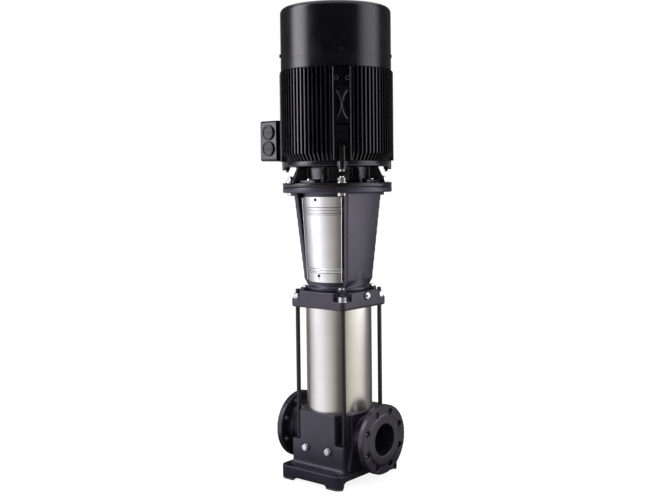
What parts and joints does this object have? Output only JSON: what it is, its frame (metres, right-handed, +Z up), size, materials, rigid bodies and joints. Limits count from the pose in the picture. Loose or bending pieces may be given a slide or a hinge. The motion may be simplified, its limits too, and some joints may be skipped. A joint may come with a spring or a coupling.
{
  "type": "vertical multistage pump",
  "caption": "Vertical multistage in-line pump: flanged base, stainless sleeve between base and head on staybolts, motor stool with guarded coupling, finned flange motor.",
  "frame": {"origin": "centre of the foot's bolt pattern, on the floor", "axes": "+Z up along the shaft line, +X along the pipe line towards the outlet port, -Y the side with the drain plugs"},
  "size_m": [0.4595, 0.3598, 1.5],
  "materials": {
    "black_paint": "satin",
    "black_casting": "painted satin",
    "stainless": "brushed",
    "bright_sheet": "polished",
    "zinc": "zinc plated",
    "black_steel": "satin",
    "machined_steel": "machined",
    "laminations": "varnished",
    "copper": "enamelled",
    "rubber": "matt",
    "black_plastic": "matt",
    "seal_ceramic": "lapped",
    "brass": "machined"
  },
  "bodies": {
    "pump_frame": {"base_casting": "black_casting", "bearing_outer_rings": "machined_steel", "blanking_plugs": "black_plastic", "boss_screws": "zinc", "bottom_bearing": "seal_ceramic", "chamber_1": "stainless", "chamber_2": "stainless", "chamber_3": "stainless", "chamber_4": "stainless", "chamber_straps": "stainless", "coupling_guard_back": "bright_sheet", "coupling_guard_front": "bright_sheet", "cover_screws": "black_steel", "drain_plugs": "zinc", "drain_washers": "rubber", "drive_end_shield": "black_casting", "fan_cover": "black_paint", "flange_bolts": "zinc", "flange_nuts": "zinc", "flange_washers": "zinc", "guard_screws": "machined_steel", "inlet_part": "stainless", "lid_screws": "zinc", "motor_stool": "black_casting", "nde_shield": "black_casting", "outer_sleeve": "stainless", "pump_head": "black_casting", "seal_gland": "machined_steel", "seal_seat": "seal_ceramic", "shield_screws": "zinc", "sleeve_seals": "rubber", "stator_core": "laminations", "stator_housing": "black_paint", "staybolt_nuts": "zinc", "staybolt_washers": "zinc", "staybolts": "black_steel", "stool_bolts": "zinc", "terminal_block": "black_plastic", "terminal_box": "black_paint", "terminal_lid": "black_paint", "top_chamber": "stainless", "vent_plug": "zinc", "windings": "copper"},
    "shaft_line": {"motor_shaft": "machined_steel", "rotor_core": "laminations", "bearing_inner_rings": "machined_steel", "bearing_cages": "brass", "cooling_fan": "black_plastic", "coupling_half_front": "machined_steel", "coupling_half_back": "machined_steel", "coupling_screws": "black_steel", "pump_shaft": "stainless", "impeller_1": "stainless", "impeller_2": "stainless", "impeller_3": "stainless", "impeller_4": "stainless", "shaft_spacers": "stainless", "stack_nut": "stainless", "seal_rotor": "seal_ceramic"},
    "vent_spindle_body": {"vent_spindle": "zinc"}
  },
  "joints": [
    {"name": "shaft_spin", "type": "hinge", "parent": "pump_frame", "child": "shaft_line", "pos_m": [0, 0, 0.785], "axis": [0, 0, 1], "continuous": true},
    {"name": "vent_turn", "type": "hinge", "parent": "pump_frame", "child": "vent_spindle_body", "pos_m": [0.1115, 0.005, 0.591], "axis": [1, 0, 0], "range_deg": [0, 360]}
  ]
}
